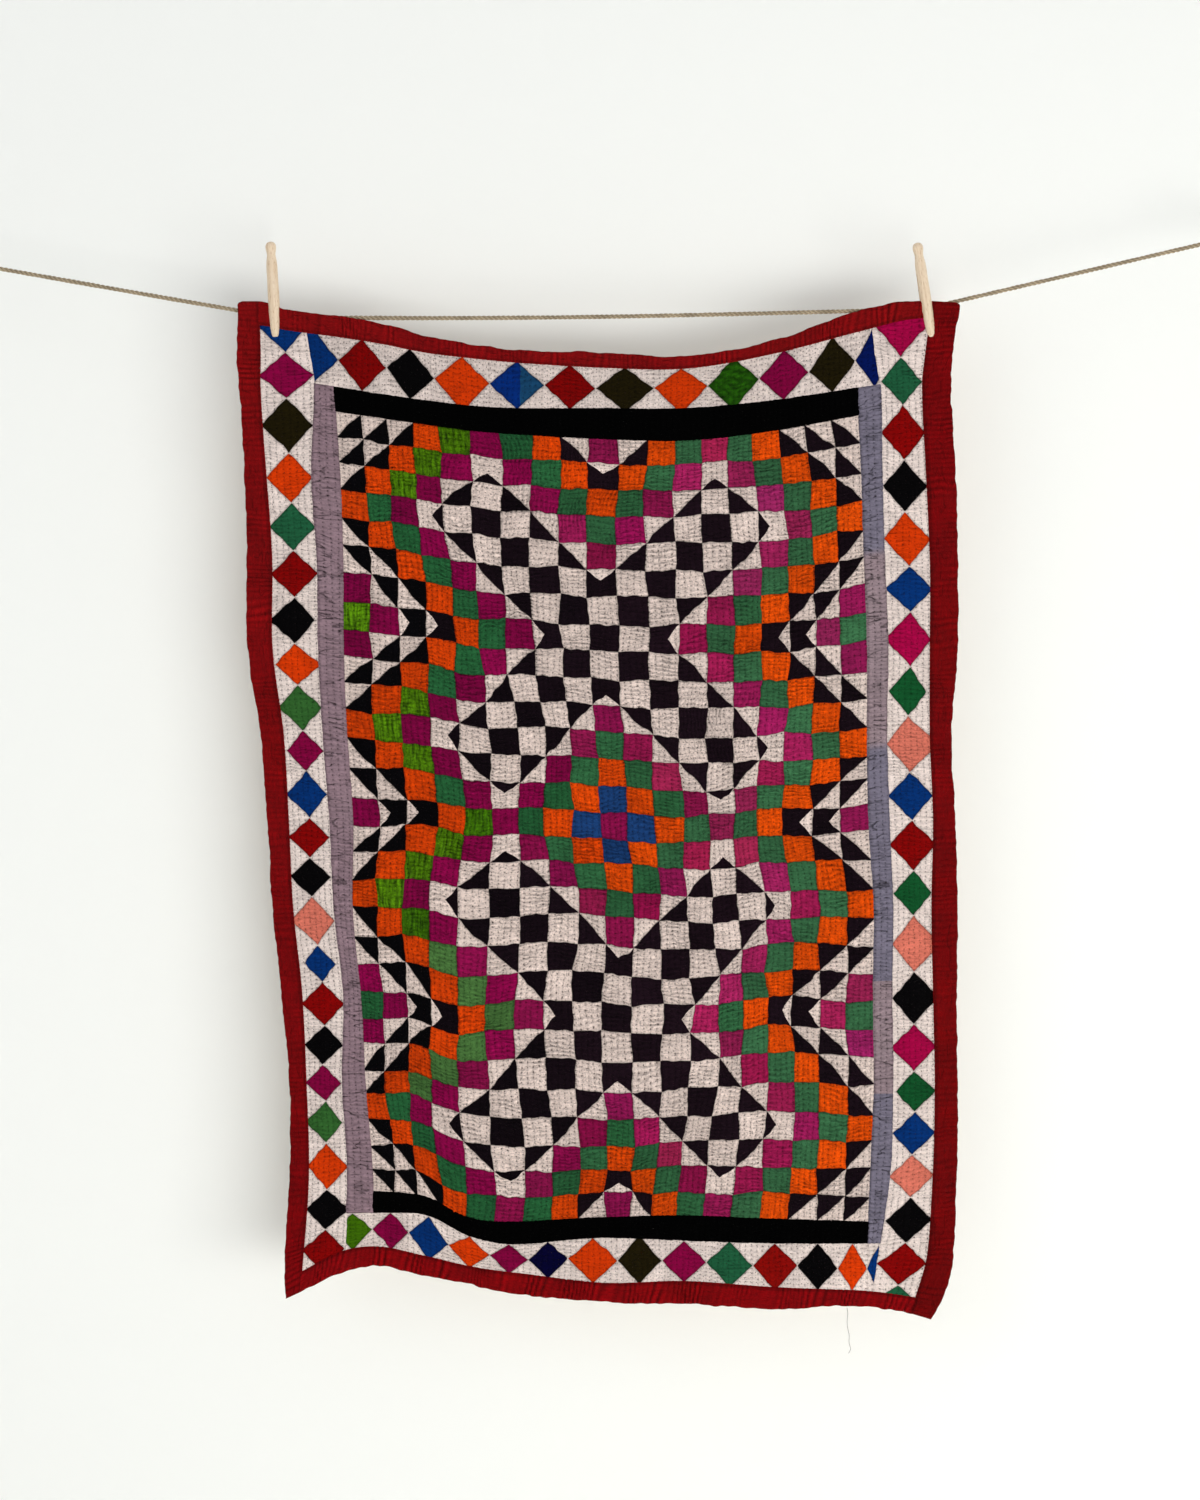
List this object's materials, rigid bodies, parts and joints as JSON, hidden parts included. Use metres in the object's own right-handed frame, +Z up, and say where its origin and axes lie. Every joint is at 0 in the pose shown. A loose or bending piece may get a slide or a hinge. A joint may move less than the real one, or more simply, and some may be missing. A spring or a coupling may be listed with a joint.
{
  "type": "patchwork quilt pegged to a clothes line",
  "caption": "Hand-stitched patchwork quilt hanging from a taut natural-fibre line by wooden dolly pegs, with a knotted loop at each end of the line.",
  "frame": {"origin": "where the line's left-hand loop bears on its hook", "axes": "+X along the line to the right-hand loop, +Y from the patchwork side to the back, +Z up"},
  "size_m": [1.5434, 0.0402, 1.2696],
  "materials": {
    "red_cotton": "dark crimson cotton edging strips with running stitch, slightly worn",
    "ivory_patchwork": "ivory cotton with square-on-point patches in plain dyed cotton and dark running stitch",
    "lavender_cotton": "faded grey-lavender cotton with fine creases",
    "black_cotton": "plain black cotton",
    "field_patchwork": "patchwork of magenta, green, orange, blue, black and ivory cotton squares with dark running stitch",
    "peg_wood": "bare pale turned wood",
    "natural_rope": "three-strand natural-fibre rope"
  },
  "bodies": {
    "root": {"binding_left": "red_cotton", "binding_right": "red_cotton", "binding_top": "red_cotton", "binding_bottom": "red_cotton", "border_left": "ivory_patchwork", "border_right": "ivory_patchwork", "border_top": "ivory_patchwork", "border_bottom": "ivory_patchwork", "lavender_strip_left": "lavender_cotton", "lavender_strip_right": "lavender_cotton", "black_strip_top": "black_cotton", "black_strip_bottom": "black_cotton", "field": "field_patchwork", "peg_left": "peg_wood", "peg_right": "peg_wood", "line": "natural_rope", "line_eye_left": "natural_rope", "line_eye_right": "natural_rope"}
  },
  "joints": []
}
